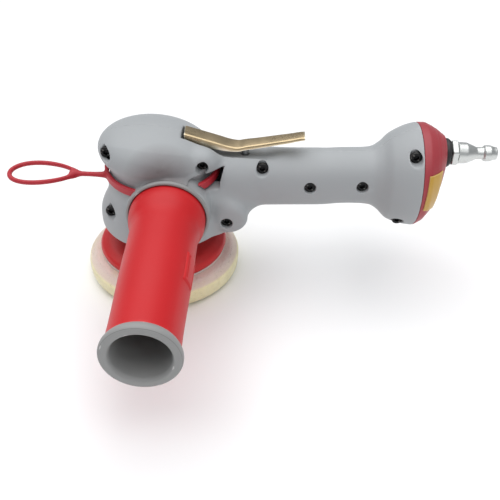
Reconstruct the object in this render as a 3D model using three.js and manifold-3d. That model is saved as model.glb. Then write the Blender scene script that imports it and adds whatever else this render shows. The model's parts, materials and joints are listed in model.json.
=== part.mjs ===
// Two-handed pneumatic rotary polisher: clamshell housing, vane motor, planetary
// reduction, backing plate and pad, throttle lever and valve, hollow side grip.
// Millimetres, +Z up. The origin is the middle of the pad's working face, +Z is the
// spindle's axis, +X runs along the main handle to the air inlet, -Y along the side grip.
import * as THREE from "three";
import { mergeVertices } from "three/addons/utils/BufferGeometryUtils.js";
import Module from "manifold-3d";

const wasm = await Module();
wasm.setup();

// ---- Driving dimensions ------------------------------------------------------------
const GAP = 0.3; // clearance between pieces that touch
const SPLIT = GAP / 2; // half of the clearance between the two housing halves

// The middle of the head, the handle's axes and the side grip lie this far ahead of the spindle.
const AHEAD = 3.2;

const PAD = { radius: 49, crown: 45.4, side: 12.5, top: 16.5 };
const HOOK_TOP = 18;
const PLATE = { radius: 40.8, rim: 21, shoulder: 35, shoulderZ: 26, hub: 15, top: 31 };

const SKIRT = { bottom: 41, rim: 37.5, radius: 39.6, low: 44, high: 50 };
const WAIST = { radius: 32, low: 73.5, high: 79.3, top: 84 };
const DOME = { x: -3, z: 87.5, a: 34.4, b: 32.5, c: 15.4, tilt: 7.1, wall: 3 };
const BORE = { radius: 24.4, high: 85, capRadius: 22.8, top: 88.3 };
const COVER = { radius: 24, low: 41.4 };

const HANDLE_Z = 70.5; // height of the main handle's axis
const HANDLE = [
  // station along X, radius, rise of the centre above HANDLE_Z
  [22, 20, 0], [40, 18.6, 0], [60, 17.8, 0], [90, 17.3, 0], [106, 17, 0.8], [118, 17.1, 1.2],
  [127, 18.4, 1.5], [131, 20.8, 1.5], [137, 25.6, 1.6], [142, 28.6, 2.2], [148, 30.6, 2.8], [151.7, 31, 3.1],
];
const CANAL = [[30, 11], [56, 13], [120, 13], [130, 16], [140, 23], [152.5, 27]];
const GUSSET = [[20, 43.5], [38, 41.5], [46, 46], [49, 54], [58, 60], [58, 76], [20, 76]];
const GUSSET_HALF = 15;
const CORNER_BOSS = { radius: 8.5, half: 24 }; // round the low screw beside the handle root

const SOCKET = { x: 5.8, z: 62.5, front: 33.5, radius: 24.1, seat: 22.2, floor: 25.5, port: 11 };
const GRIP = { root: 25.9, mouth: 140.5, end: 146.5, bore: 14.7 };

const LEVER = { width: 11.6, sheet: 1.2, left: 14.4, leftZ: 100.9, bend: 45.6, bendZ: 92.1,
  tip: 85, tipZ: 99 };
const PIVOT = { x: 20, z: 92.6, radius: 1.5, ear: 2.9 };
const SLOT_HALF = 7.3;
const STEM = { x: 50, top: 91, radius: 2 };
const VALVE = { low: 44.6, high: 56.6, radius: 11.6, chamber: 4.8, chamberTop: 70.6 };

const INLET_Z = 88.5; // height of the air inlet's axis
const CAP = [
  // station along X, radius, height of the centre
  [152.1, 31, 73.6], [156, 29.6, 75.2], [161.5, 24.8, 77.5], [165.2, 17.6, 82.4], [167.4, 12, 86.6],
];
const LABEL = { left: 154.6, right: 163.4, low: 66.5, high: 87.5, lift: 0.35, thick: 0.5 };

const SCREWS = [
  // along X, height, outer surface along Y, boss radius
  [-30.6, 92.6, -16.5, 3.4], [27, 87.5, -18.5, 2.8], [-31, 56.5, -22.5, 3.4],
  [39.8, 52.4, -24, 4], [60.3, 82.2, -13.2, 3], [88.4, 72.4, -17, 3.6], [119.2, 74, -16.4, 3.6],
  [147, 95.4, -20.6, 3.2], [143, 52.8, -20.2, 3.4],
];
const SCREW = { recess: 3.6, head: 3.1, headHeight: 2.4, shank: 1.5, depth: 5, reach: 8 };

const MODULE = 1; // gear module
const PRESSURE = THREE.MathUtils.degToRad(20);
const TEETH = { sun: 12, planet: 15, ring: 42 };
const BACKLASH = 0.24;
const GEAR = { low: 58.2, high: 66, addendum: 0.85, dedendum: 1.15 };
const PLANETS = 3;
const PLANET_ORBIT = (MODULE * (TEETH.sun + TEETH.planet)) / 2;
const ROTOR = { radius: 15.5, low: 70.6, high: 84.4, shaft: 3, slots: 5, slot: 2, slotFloor: 8.5 };
const STATOR = { radius: 24, bore: 17.5, offset: 1.7, low: 70.3, high: 84.7 };

// ---- Colours -----------------------------------------------------------------------
const GREY = [0x9ba0a2, 0.6, 0], RED = [0xc8323a, 0.45, 0], DARK = [0x1c1c1e, 0.7, 0];
const STEEL = [0xb9bcc0, 0.3, 1], BLACK_STEEL = [0x2a2a2c, 0.45, 0.8], GOLD = [0xb59a60, 0.3, 1];
const ALLOY = [0xa8abae, 0.45, 1], BRASS = [0xb08d4f, 0.35, 1], FOAM = [0xe6dcae, 0.95, 0];
const OCHRE = [0xb98a2e, 0.5, 0], FLEECE = [0xe9e4dd, 0.95, 0], FIBRE = [0x5a4632, 0.8, 0];

// ---- Solids ------------------------------------------------------------------------
function solid(geometry) {
  const bare = geometry.index ? geometry.toNonIndexed() : geometry.clone();
  bare.deleteAttribute("normal");
  bare.deleteAttribute("uv");
  const merged = mergeVertices(bare, 1e-4);
  const corners = Array.from(merged.index.array);
  const triVerts = [];
  for (let i = 0; i < corners.length; i += 3) {
    const [a, b, c] = corners.slice(i, i + 3);
    if (a !== b && b !== c && a !== c) triVerts.push(a, b, c);
  }
  const make = (faces) =>
    new wasm.Manifold(new wasm.Mesh({
      numProp: 3, vertProperties: merged.attributes.position.array, triVerts: new Uint32Array(faces),
    }));
  const made = make(triVerts);
  return made.volume() < 0 ? make(triVerts.reverse()) : made;
}

function geometryOf(made) {
  const { numProp, numVert, vertProperties, triVerts } = made.getMesh();
  const points = new Float32Array(numVert * 3);
  for (let i = 0; i < numVert; i++) points.set(vertProperties.subarray(i * numProp, i * numProp + 3), i * 3);
  return new THREE.BufferGeometry()
    .setAttribute("position", new THREE.BufferAttribute(points, 3))
    .setIndex(new THREE.BufferAttribute(triVerts, 1));
}

const closed = (geometry) => geometryOf(solid(geometry));
const join = (first, ...rest) => geometryOf(rest.reduce((sum, g) => sum.add(solid(g)), solid(first)));
const cut = (first, ...tools) => geometryOf(tools.reduce((left, g) => left.subtract(solid(g)), solid(first)));
const common = (a, b) => geometryOf(solid(a).intersect(solid(b)));

// A profile of [radius, height] points turned about +Z.
function turned(profile, sides = 32) {
  const points = profile.map(([r, h]) => new THREE.Vector2(r, h));
  return new THREE.LatheGeometry(points, sides).rotateX(Math.PI / 2);
}
const disc = (radius, low, high, sides) => turned([[0, low], [radius, low], [radius, high], [0, high]], sides);
const ring = (inner, outer, low, high, sides) =>
  turned([[inner, low], [outer, low], [outer, high], [inner, high], [inner, low]], sides);

// +Z turned to +X, and to -Y, then moved to the axis that runs through x and z.
const alongX = (geometry, z) => geometry.rotateY(Math.PI / 2).translate(0, 0, z);
const alongY = (geometry, x, z) => geometry.rotateX(Math.PI / 2).translate(x, 0, z);

function box(x0, x1, y0, y1, z0, z1) {
  return new THREE.BoxGeometry(x1 - x0, y1 - y0, z1 - z0)
    .translate((x0 + x1) / 2, (y0 + y1) / 2, (z0 + z1) / 2);
}

// An outline of [x, z] points, as thick as 2 * half along Y.
function slab(outline, half) {
  const shape = new THREE.Shape(outline.map(([x, z]) => new THREE.Vector2(x, z)));
  return new THREE.ExtrudeGeometry(shape, { depth: 2 * half, bevelEnabled: false })
    .rotateX(Math.PI / 2)
    .translate(0, half, 0);
}

// Round sections along X: stations of [x, radius, centre height].
function lofted(stations, sides = 32) {
  const first = stations[0], last = stations[stations.length - 1];
  const profile = [[0, first[0]], ...stations.map(([x, r]) => [r, x]), [0, last[0]]];
  const made = alongX(turned(profile, sides), 0);
  const at = made.attributes.position;
  for (let i = 0; i < at.count; i++) {
    const next = Math.max(1, stations.findIndex(([x]) => at.getX(i) <= x + 1e-4));
    const [x0, , z0] = stations[next - 1], [x1, , z1] = stations[next];
    at.setZ(i, at.getZ(i) + z0 + ((z1 - z0) * (at.getX(i) - x0)) / (x1 - x0));
  }
  return made;
}

function piped(points, section, steps) {
  const path = new THREE.CatmullRomCurve3(points.map((p) => new THREE.Vector3(...p)));
  return new THREE.ExtrudeGeometry(section, { steps, extrudePath: path, curveSegments: 4 });
}

function circle(radius, hole = 0) {
  const shape = new THREE.Shape().absarc(0, 0, radius, 0, 2 * Math.PI);
  if (hole) shape.holes.push(new THREE.Path().absarc(0, 0, hole, 0, 2 * Math.PI));
  return shape;
}

const root = new THREE.Group();
const casing = new THREE.Group();
casing.position.x = AHEAD;
root.add(casing);
function piece(name, geometry, [color, roughness, metalness], parent = casing) {
  const finish = new THREE.MeshStandardMaterial({ color, roughness, metalness });
  const mesh = new THREE.Mesh(closed(geometry), finish);
  mesh.name = name;
  parent.add(mesh);
  return mesh;
}

// ---- Housing -----------------------------------------------------------------------
function dome(shrink = 0) {
  return new THREE.SphereGeometry(1, 24, 12)
    .rotateX(Math.PI / 2)
    .scale(DOME.a - shrink, DOME.b - shrink, DOME.c - shrink)
    .rotateY(THREE.MathUtils.degToRad(DOME.tilt))
    .translate(DOME.x, 0, DOME.z);
}

function housingBody() {
  const head = turned([
    [0, SKIRT.bottom], [SKIRT.rim, SKIRT.bottom], [SKIRT.radius, SKIRT.low], [SKIRT.radius, SKIRT.high],
    [37.6, 57], [35, 66], [WAIST.radius + 0.5, WAIST.low - 0.5], [WAIST.radius, WAIST.low],
    [WAIST.radius, WAIST.top], [0, WAIST.top],
  ], 32);
  const handle = lofted(HANDLE.map(([x, r, rise]) => [x, r, HANDLE_Z + rise]), 24);
  const strapGroove = ring(WAIST.radius + 0.01, 36.3, WAIST.low, WAIST.high, 32);
  const socket = alongY(disc(SOCKET.radius, 22, SOCKET.front - GAP, 32), SOCKET.x, SOCKET.z);
  const belowSkirt = box(-40, 50, -60, 0, 20, SKIRT.bottom - 2);
  const [cornerX, cornerZ] = SCREWS[3];
  const corner = alongY(disc(CORNER_BOSS.radius, -CORNER_BOSS.half, CORNER_BOSS.half, 18), cornerX, cornerZ);
  const body = cut(join(head, dome(), handle, slab(GUSSET, GUSSET_HALF), corner), strapGroove);
  return join(body, cut(socket, belowSkirt));
}

function housingHollow() {
  const bore = turned([
    [0, 40], [BORE.radius, 40], [BORE.radius, BORE.high], [BORE.capRadius, BORE.high], [BORE.capRadius, BORE.top],
    [0, BORE.top],
  ], 32).translate(-AHEAD, 0, 0);
  const underDome = common(dome(DOME.wall), box(-40, 9, -40, 40, WAIST.top - 2, 110));
  const canal = lofted(CANAL.map(([x, r]) => [x, r, HANDLE_Z + (x > 125 ? 2 : 0)]), 20);
  const seat = alongY(turned([
    [0, SOCKET.floor], [SOCKET.seat, SOCKET.floor], [SOCKET.seat, SOCKET.front - GAP],
    [SOCKET.radius + 0.8, SOCKET.front - GAP], [SOCKET.radius + 0.8, 70], [0, 70],
  ], 32), SOCKET.x, SOCKET.z);
  const port = alongY(disc(SOCKET.port, 2, 30, 28), SOCKET.x, SOCKET.z);
  return { bore, underDome, canal, seat, port };
}

function leverSlot() {
  const outline = [[12.6, 89.2], [27, 89.2], [36, 85.6], [62, 85.6], [74, 88], [90, 92], [90, 120], [12.6, 120]];
  return slab(outline, SLOT_HALF);
}

function housing() {
  const { bore, underDome, canal, seat, port } = housingHollow();
  const bosses = SCREWS.map(([x, z, surface, r]) =>
    alongY(disc(r, -Math.min(12, -surface - 2), -surface - 3, 8), x, z));
  const shell = join(cut(housingBody(), bore, underDome, canal), ...bosses.map((b) => common(b, housingBody())));
  const stemHole = disc(STEM.radius + 0.5, 80, 100, 12).translate(STEM.x, 0, 0);
  const pinHole = alongY(disc(PIVOT.radius + GAP, -9.3, 9.3, 14), PIVOT.x, PIVOT.z);
  const recesses = SCREWS.flatMap(([x, z, surface]) => [
    alongY(disc(SCREW.recess, -surface - SCREW.depth, 60, 12), x, z),
    alongY(disc(SCREW.shank + GAP, -SCREW.reach - 0.5, -surface, 8), x, z),
  ]);
  return cut(shell, seat, port, leverSlot(), stemHole, pinHole, ...recesses);
}

const whole = housing();
piece("housing_front", common(whole, box(-60, 160, -80, -SPLIT, 20, 130)), GREY);
piece("housing_rear", common(whole, box(-60, 160, SPLIT, 80, 20, 130)), GREY);

SCREWS.forEach(([x, z, surface], i) => {
  const top = -surface - SCREW.depth + SCREW.headHeight;
  const head = turned([
    [0, -SCREW.reach], [SCREW.shank, -SCREW.reach], [SCREW.shank, top - SCREW.headHeight + GAP],
    [SCREW.head, top - SCREW.headHeight + GAP], [SCREW.head, top], [1.5, top], [1.5, top - 1.4], [0, top - 1.4],
  ], 10);
  piece(`housing_screw_${i + 1}`, alongY(head, x, z), BLACK_STEEL);
});

// ---- Carrying strap: a ring in the waist groove, a link and an eye --------------------
function strap() {
  const inner = WAIST.radius + 0.4, outer = 35.8, low = WAIST.low + 0.4, high = WAIST.high - 0.4;
  const socket = alongY(disc(SOCKET.radius + 1.2, 20, 60, 28), SOCKET.x, SOCKET.z);
  const band = cut(ring(inner, outer, low, high, 36), socket);
  const link = box(-53, -33, -13.2, -9.4, 74.4, 78.4);
  const eye = turned([[1, 74.4], [1.15, 74.4], [1.18, 76.4], [1.15, 78.4], [1, 78.4], [1, 74.4]], 28)
    .scale(17.8, 10.4, 1)
    .translate(-71.4, -11.2, 0);
  return join(band, link, eye);
}
piece("carry_strap", strap(), RED);

// ---- Side grip -----------------------------------------------------------------------
const { x: gripX, z: gripZ } = SOCKET;
piece("grip_collar", alongY(turned([
  [SOCKET.seat + 0.2, SOCKET.front], [SOCKET.radius, SOCKET.front], [SOCKET.radius + 0.4, SOCKET.front + 1.2],
  [SOCKET.radius - 0.6, SOCKET.front + 2.6], [SOCKET.seat + 0.2, SOCKET.front + 2.6],
  [SOCKET.seat + 0.2, SOCKET.front],
], 32), gripX, gripZ), GREY);

function sideGrip() {
  const shell = turned([
    [12, GRIP.root], [19.6, GRIP.root], [21.5, 30], [21.9, 35], [21.8, 41], [20.6, 48], [19.7, 55],
    [19.3, 80], [18.6, 112], [18.2, GRIP.mouth], [15.5, GRIP.mouth], [15.5, 72], [14, 42], [12, 34], [12, GRIP.root],
  ], 28);
  const catchPlate = box(17.6, 20.1, -4.6, 4.6, 79, 101).rotateZ(THREE.MathUtils.degToRad(18));
  return alongY(join(shell, catchPlate), gripX, gripZ);
}
piece("side_grip", sideGrip(), RED);
piece("grip_cuff", alongY(turned([
  [GRIP.bore - 0.6, 114], [15.2, 114], [15.2, GRIP.mouth + GAP], [18.8, GRIP.mouth + GAP], [19.9, GRIP.mouth + 2],
  [20, GRIP.end - 1], [19, GRIP.end], [GRIP.bore + 1, GRIP.end], [GRIP.bore, GRIP.end - 1],
  [GRIP.bore - 0.6, 114],
], 28), gripX, gripZ), GREY);
piece("exhaust_silencer", alongY(disc(11.6, 26.4, 33, 20), gripX, gripZ), FIBRE);

// ---- Throttle lever and valve -----------------------------------------------------------
function leverOutline(depth) {
  const { left, leftZ, bend, bendZ, tip, tipZ } = LEVER;
  const upper = [[left, leftZ], [bend - 3, bendZ + 0.7], [bend, bendZ + 0.3], [bend + 3, bendZ + 0.7], [tip, tipZ]];
  const lower = upper.map(([x, z], i) => [x, z - depth[i]]).reverse();
  return [...lower, ...upper];
}
function lever() {
  const half = LEVER.width / 2, sheet = LEVER.sheet;
  const web = slab(leverOutline([sheet, sheet, sheet, sheet, sheet]), half);
  const sides = [-1, 1].map((side) =>
    slab(leverOutline([5.3, 2.4, 2.2, 2.2, 2]), sheet / 2).translate(0, side * (half - sheet / 2), 0));
  const ears = [-1, 1].map((side) =>
    alongY(disc(PIVOT.ear, half - sheet, half, 14), PIVOT.x, PIVOT.z).scale(1, side, 1));
  const eye = alongY(disc(PIVOT.radius + GAP, -20, 20, 14), PIVOT.x, PIVOT.z);
  return cut(join(web, ...sides, ...ears), eye);
}
piece("throttle_lever", lever(), GOLD);
piece("lever_pin", alongY(disc(PIVOT.radius, -9, 9, 14), PIVOT.x, PIVOT.z), STEEL);

function valveBody() {
  const block = lofted([[VALVE.low, VALVE.radius, HANDLE_Z], [VALVE.high, VALVE.radius, HANDLE_Z]], 28);
  const guide = disc(STEM.radius + GAP, 60, 90, 16).translate(STEM.x, 0, 0);
  const chamber = disc(VALVE.chamber, 50, VALVE.chamberTop, 20).translate(STEM.x, 0, 0);
  const feed = alongX(disc(2.6, STEM.x, VALVE.high + 1, 16), 63);
  return cut(block, guide, chamber, feed);
}
piece("valve_body", valveBody(), ALLOY);
piece("valve_plug", disc(4.4, 59, 59.8, 16).translate(STEM.x, 0, 0), BRASS);
const SPRING = { low: 60.2, high: 66.8, radius: 3.4, wire: 0.45, turns: 3, steps: 10 };
piece("valve_stem", turned([
  [0, 67.2], [3.8, 67.2], [4.2, 68.4], [4.2, 69.2], [STEM.radius, 70.2], [STEM.radius, STEM.top - 0.6],
  [STEM.radius - 0.6, STEM.top], [0, STEM.top],
], 14).translate(STEM.x, 0, 0), STEEL);

function spring({ low, high, radius, wire, turns, steps }) {
  const points = [];
  for (let i = 0; i <= turns * steps; i++) {
    const angle = (2 * Math.PI * i) / steps;
    const z = low + wire + ((high - low - 2 * wire) * i) / (turns * steps);
    points.push([radius * Math.cos(angle), radius * Math.sin(angle), z]);
  }
  const wireSection = new THREE.Shape().absarc(0, 0, wire, 0, 2 * Math.PI);
  const path = new THREE.CatmullRomCurve3(points.map((p) => new THREE.Vector3(...p)));
  return new THREE.ExtrudeGeometry(wireSection, { steps: turns * steps, extrudePath: path, curveSegments: 3 });
}
piece("valve_spring", spring(SPRING).translate(STEM.x, 0, 0), STEEL);

// ---- Air inlet -----------------------------------------------------------------------
piece("air_pipe", piped([
  [VALVE.high + GAP, 0, 63], [90, 0, 62.8], [122, 0, 63.5], [135, 0, 73], [142, 0, 84], [147, 0, INLET_Z],
  [151.8, 0, INLET_Z],
], circle(3.2, 2), 12), BRASS);

function endCap() {
  const shell = lofted(CAP, 24);
  const bore = alongX(disc(7.3, 150, 190, 24), INLET_Z);
  return cut(shell, bore);
}
piece("end_cap", endCap(), RED);
piece("inlet_grommet", alongX(turned([
  [5.2, 153], [7, 153], [7, 167.7], [8.4, 167.8], [8.6, 169.6], [7.6, 171], [5.2, 171], [5.2, 153],
], 18), INLET_Z), DARK);

function inletPlug() {
  const hex = alongX(disc(7.7, 171.4, 175.6, 6), INLET_Z);
  const stem = alongX(turned([
    [2.2, 152.4], [4.9, 152.4], [4.9, 174.6], [6.4, 175.6], [6, 181], [4.6, 184.8], [3.6, 187], [3.6, 190.6],
    [4.8, 191.8], [4.8, 195], [4, 197], [3.6, 199], [2.2, 199], [2.2, 152.4],
  ], 18), INLET_Z);
  const bore = alongX(disc(2.2, 150, 200, 18), INLET_Z);
  return join(cut(hex, bore), stem);
}
piece("inlet_plug", inletPlug(), STEEL);

// A blank plate that follows the cap's sloping front.
function label() {
  const skin = (lift) => lofted(CAP.map(([x, r, z]) => [x, r + lift, z]), 24);
  const { left, right, low, high, lift, thick } = LABEL;
  return common(cut(skin(lift + thick), skin(lift)), box(left, right, -40, -8, low, high));
}
piece("end_label", label(), OCHRE);

// ---- Vane motor ----------------------------------------------------------------------
const body = turned([
  [0, STATOR.low], [STATOR.radius, STATOR.low], [STATOR.radius, STATOR.high], [0, STATOR.high],
], 32);
piece("motor_cylinder", cut(body, disc(STATOR.bore, 60, 90, 32).translate(0, STATOR.offset, 0)), STEEL, root);

function rotor() {
  const core = disc(ROTOR.radius, ROTOR.low, ROTOR.high, 30);
  const slots = Array.from({ length: ROTOR.slots }, (_, i) =>
    box(ROTOR.slotFloor, 20, -ROTOR.slot / 2, ROTOR.slot / 2, 60, 90).rotateZ((2 * Math.PI * i) / ROTOR.slots));
  return join(cut(core, ...slots), disc(ROTOR.shaft, 57.6, 87.4, 20));
}
piece("rotor", rotor(), STEEL, root);
for (let i = 0; i < ROTOR.slots; i++) {
  const vane = box(ROTOR.slotFloor + 0.4, 15.4, -0.7, 0.7, ROTOR.low + 0.1, ROTOR.high - 0.1);
  piece(`motor_vane_${i + 1}`, vane.rotateZ((2 * Math.PI * i) / ROTOR.slots), FIBRE, root);
}
piece("upper_end_plate", ring(7.3, 22.5, 85, 88, 28), ALLOY, root);
piece("upper_motor_bearing", ring(3.3, 7, 85, 88, 20), STEEL, root);
piece("lower_end_plate", ring(7.3, STATOR.radius, 67, 70, 28), ALLOY, root);
piece("lower_motor_bearing", ring(3.3, 7, 67, 70, 20), STEEL, root);

// ---- Planetary reduction ----------------------------------------------------------------
function toothed(teeth, addendum, dedendum, backlash) {
  const pitch = (teeth * MODULE) / 2, base = pitch * Math.cos(PRESSURE);
  const involute = (r) => {
    const angle = Math.acos(Math.min(1, base / r));
    return Math.tan(angle) - angle;
  };
  const half = (r) => ((Math.PI * MODULE) / 2 - backlash) / 2 / pitch + involute(pitch) - involute(r);
  const radii = [pitch - dedendum * MODULE, pitch + addendum * MODULE];
  const flank = [...radii.map((r) => [r, -half(r)]), ...radii.map((r) => [r, half(r)]).reverse()];
  const shape = [];
  for (let k = 0; k < teeth; k++)
    for (const [r, angle] of flank) {
      const turn = angle + (2 * Math.PI * k) / teeth;
      shape.push(new THREE.Vector2(r * Math.cos(turn), r * Math.sin(turn)));
    }
  return shape;
}
function gear(outline, hole) {
  const shape = new THREE.Shape(outline);
  shape.holes.push(new THREE.Path().absarc(0, 0, hole, 0, 2 * Math.PI));
  return new THREE.ExtrudeGeometry(shape, {
    depth: GEAR.high - GEAR.low, bevelEnabled: false, curveSegments: 7,
  }).translate(0, 0, GEAR.low);
}
function ringGear() {
  const shape = new THREE.Shape().absarc(0, 0, STATOR.radius, 0, 2 * Math.PI);
  const spaces = toothed(TEETH.ring, GEAR.dedendum, GEAR.addendum, -BACKLASH);
  shape.holes.push(new THREE.Path(spaces));
  return new THREE.ExtrudeGeometry(shape, {
    depth: GEAR.high - GEAR.low + 0.4, bevelEnabled: false, curveSegments: 16,
  }).translate(0, 0, GEAR.low);
}
piece("ring_gear", ringGear(), BLACK_STEEL, root);
piece("sun_gear", gear(toothed(TEETH.sun, GEAR.addendum, GEAR.dedendum, BACKLASH), 3.3), STEEL, root);

const carrier = { plate: 21.5, low: 54.6, high: 57.3, pin: 2.2, shaft: 7.6, shaftLow: 31.4 };
for (let i = 0; i < PLANETS; i++) {
  const angle = (2 * Math.PI * i) / PLANETS;
  const seat = new THREE.Group();
  seat.position.set(PLANET_ORBIT * Math.cos(angle), PLANET_ORBIT * Math.sin(angle), 0);
  seat.rotation.z = angle;
  root.add(seat);
  const outline = toothed(TEETH.planet, GEAR.addendum, GEAR.dedendum, BACKLASH);
  piece(`planet_gear_${i + 1}`, gear(outline, carrier.pin + GAP), STEEL, seat);
  piece(`planet_pin_${i + 1}`, disc(carrier.pin, carrier.low, GEAR.high - 0.2, 16), STEEL, seat);
}

function spindle() {
  const plate = turned([
    [0, 20], [4.6, 20], [4.6, carrier.shaftLow], [carrier.shaft, carrier.shaftLow],
    [carrier.shaft, carrier.low - 0.4], [carrier.plate, carrier.low - 0.4], [carrier.plate, carrier.high],
    [0, carrier.high],
  ], 28);
  const pinHoles = Array.from({ length: PLANETS }, (_, i) => {
    const angle = (2 * Math.PI * i) / PLANETS;
    return disc(carrier.pin + GAP, carrier.low - GAP, 70, 16)
      .translate(PLANET_ORBIT * Math.cos(angle), PLANET_ORBIT * Math.sin(angle), 0);
  });
  return cut(plate, ...pinHoles);
}
piece("spindle", spindle(), STEEL, root);
piece("spindle_bearing", ring(carrier.shaft + GAP, 16, 44.4, 53.6, 28), STEEL, root);
piece("gearcase_cover", turned([
  [9, COVER.low], [COVER.radius, COVER.low], [COVER.radius, 53.6], [16.3, 53.6], [16.3, 44], [9, 44],
  [9, COVER.low],
], 28), ALLOY, root);

// ---- Backing plate and pad ---------------------------------------------------------------
piece("backing_plate", turned([
  [4.9, 20.4], [4.9, PLATE.top], [PLATE.hub, PLATE.top], [PLATE.hub + 3, 29.6],
  [PLATE.shoulder, PLATE.shoulderZ], [39.6, 23.4], [PLATE.radius, PLATE.rim], [39.8, HOOK_TOP + GAP],
  [14, HOOK_TOP + GAP], [14, 20.4], [4.9, 20.4],
], 36), RED, root);
piece("plate_washer", ring(4.9, 13, HOOK_TOP + 0.5, 20.1, 20), STEEL, root);
piece("hook_layer", disc(40, PAD.top + GAP, HOOK_TOP, 36), FLEECE, root);
piece("polishing_pad", turned([
  [0, 0], [PAD.crown, 0], [PAD.radius - 0.8, 3.4], [PAD.radius, 8], [PAD.radius - 0.3, PAD.side],
  [44, PAD.top], [0, PAD.top],
], 40), FOAM, root);

export default root;
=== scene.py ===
"""Looks of a two-handed pneumatic rotary polisher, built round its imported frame.

Shapes are worked out in millimetres and put into their meshes in metres. +Z is the spindle's
axis, +X runs along the main handle to the air inlet, and -Y runs along the side grip."""

import json
import math

import bmesh
import bpy
import numpy as np
from mathutils import Matrix


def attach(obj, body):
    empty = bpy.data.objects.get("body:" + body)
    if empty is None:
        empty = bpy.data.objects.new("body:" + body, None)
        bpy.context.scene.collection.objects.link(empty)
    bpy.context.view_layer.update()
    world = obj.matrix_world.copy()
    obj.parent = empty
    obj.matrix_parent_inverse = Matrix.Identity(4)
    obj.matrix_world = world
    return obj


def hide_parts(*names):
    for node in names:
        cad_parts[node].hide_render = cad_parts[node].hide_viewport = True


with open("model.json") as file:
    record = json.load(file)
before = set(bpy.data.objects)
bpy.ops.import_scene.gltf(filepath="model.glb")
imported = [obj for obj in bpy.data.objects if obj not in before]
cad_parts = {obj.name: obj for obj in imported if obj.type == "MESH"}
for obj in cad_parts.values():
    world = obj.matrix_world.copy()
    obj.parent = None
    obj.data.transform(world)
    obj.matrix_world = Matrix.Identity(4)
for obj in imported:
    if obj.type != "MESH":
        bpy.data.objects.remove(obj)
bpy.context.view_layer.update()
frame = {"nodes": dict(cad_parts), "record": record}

MM = 0.001
AHEAD = 3.2  # the casing's own middle lies this far ahead of the spindle's axis

# ---- Camera, floor and light -----------------------------------------------------------
EYE = (0.06166, -0.36519, 0.29938)
HEADING, ELEVATION, ROLL = math.radians(0.8), math.radians(38.2), math.radians(0.6)


def add_camera():
    """Looks along +Y, turned by the heading, dipped by the elevation and rolled about its own line."""
    camera = bpy.data.objects.new("camera", bpy.data.cameras.new("camera"))
    camera.data.sensor_width, camera.data.lens = 36, 50.4
    camera.data.clip_start, camera.data.clip_end = 0.01, 20
    camera.matrix_world = (
        Matrix.Translation(EYE) @ Matrix.Rotation(HEADING, 4, "Z")
        @ Matrix.Rotation(math.pi / 2 - ELEVATION, 4, "X") @ Matrix.Rotation(ROLL, 4, "Z")
    )
    bpy.context.scene.collection.objects.link(camera)
    bpy.context.scene.camera = camera


add_camera()
bpy.context.scene.view_settings.view_transform = "Standard"


def add_light(kind, name, energy, place, aim, **settings):
    """A lamp at a place, its beam along the line to the point it is aimed at."""
    lamp = bpy.data.lights.new(name, kind)
    lamp.energy = energy
    for setting, value in settings.items():
        setattr(lamp, setting, value)
    obj = bpy.data.objects.new(name, lamp)
    line = Matrix.Translation(place).translation - Matrix.Translation(aim).translation
    obj.rotation_euler = line.to_track_quat("Z", "Y").to_euler()
    obj.location = place
    bpy.context.scene.collection.objects.link(obj)


add_light("SUN", "overhead", 2.6, (-0.14, 0.2, 1), (0, 0, 0), angle=math.radians(80))
add_light("AREA", "window", 0.6, (0.25, -0.35, 0.55), (0.04, -0.03, 0.02), size=0.35)

# ---- Shader building -------------------------------------------------------------------


def place(tree, kind, sockets=None, **settings):
    """One node, its settings made and its sockets linked or given their values."""
    node = tree.nodes.new("ShaderNode" + kind)
    for setting, value in settings.items():
        setattr(node, setting, value)
    for socket, value in (sockets or {}).items():
        if isinstance(value, bpy.types.NodeSocket):
            tree.links.new(value, node.inputs[socket])
        else:
            node.inputs[socket].default_value = value
    return node


def calc(tree, operation, *values):
    """The result of one Math node."""
    sockets = dict(enumerate(values))
    return place(tree, "Math", sockets, operation=operation).outputs[0]


def mix(tree, share, first, second):
    """The first colour where `share` is 0, and the second where it is 1."""
    node = place(tree, "Mix", {0: share, 6: first, 7: second}, data_type="RGBA")
    return node.outputs[2]


def band(tree, value, low, high):
    """0 below low, 1 above high, and a straight rise between."""
    sockets = {0: value, 1: low, 2: high, 3: 0.0, 4: 1.0}
    return place(tree, "MapRange", sockets).outputs[0]


def noise(tree, where, scale, detail=3.0, rough=0.55):
    """Smooth noise round 0.5."""
    sockets = {"Vector": where, "Scale": scale, "Detail": detail, "Roughness": rough}
    return place(tree, "TexNoise", sockets).outputs["Fac"]


def effect(name, inputs, outputs, build):
    """A shared node group: build() gets its tree and inputs and returns one socket for each output."""
    kinds = {"f": "NodeSocketFloat", "c": "NodeSocketColor", "v": "NodeSocketVector"}
    tree = bpy.data.node_groups.new(name, "ShaderNodeTree")
    for label, kind, value in inputs:
        socket = tree.interface.new_socket(label, in_out="INPUT", socket_type=kinds[kind])
        socket.default_value = value
    for label, kind in outputs:
        tree.interface.new_socket(label, in_out="OUTPUT", socket_type=kinds[kind])
    given = tree.nodes.new("NodeGroupInput").outputs
    result = tree.nodes.new("NodeGroupOutput").inputs
    for (label, _), socket in zip(outputs, build(tree, given)):
        tree.links.new(socket, result[label])
    return tree


def build_grain(tree, given):
    """Moulded or cast skin: two sizes of noise, the finer one cut by small pits."""
    where = place(tree, "TexCoord").outputs["Object"]
    fine = noise(tree, where, given["Scale"], 4.0, 0.6)
    broad = noise(tree, where, calc(tree, "MULTIPLY", given["Scale"], 0.31), 2.0)
    pits = place(tree, "TexVoronoi", {"Vector": where, "Scale": given["Scale"]}).outputs["Distance"]
    rough = calc(tree, "ADD", calc(tree, "MULTIPLY", fine, 0.5), calc(tree, "MULTIPLY", broad, 0.3))
    return (calc(tree, "ADD", rough, calc(tree, "MULTIPLY", band(tree, pits, 0.0, 0.55), given["Pits"])),)


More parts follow.
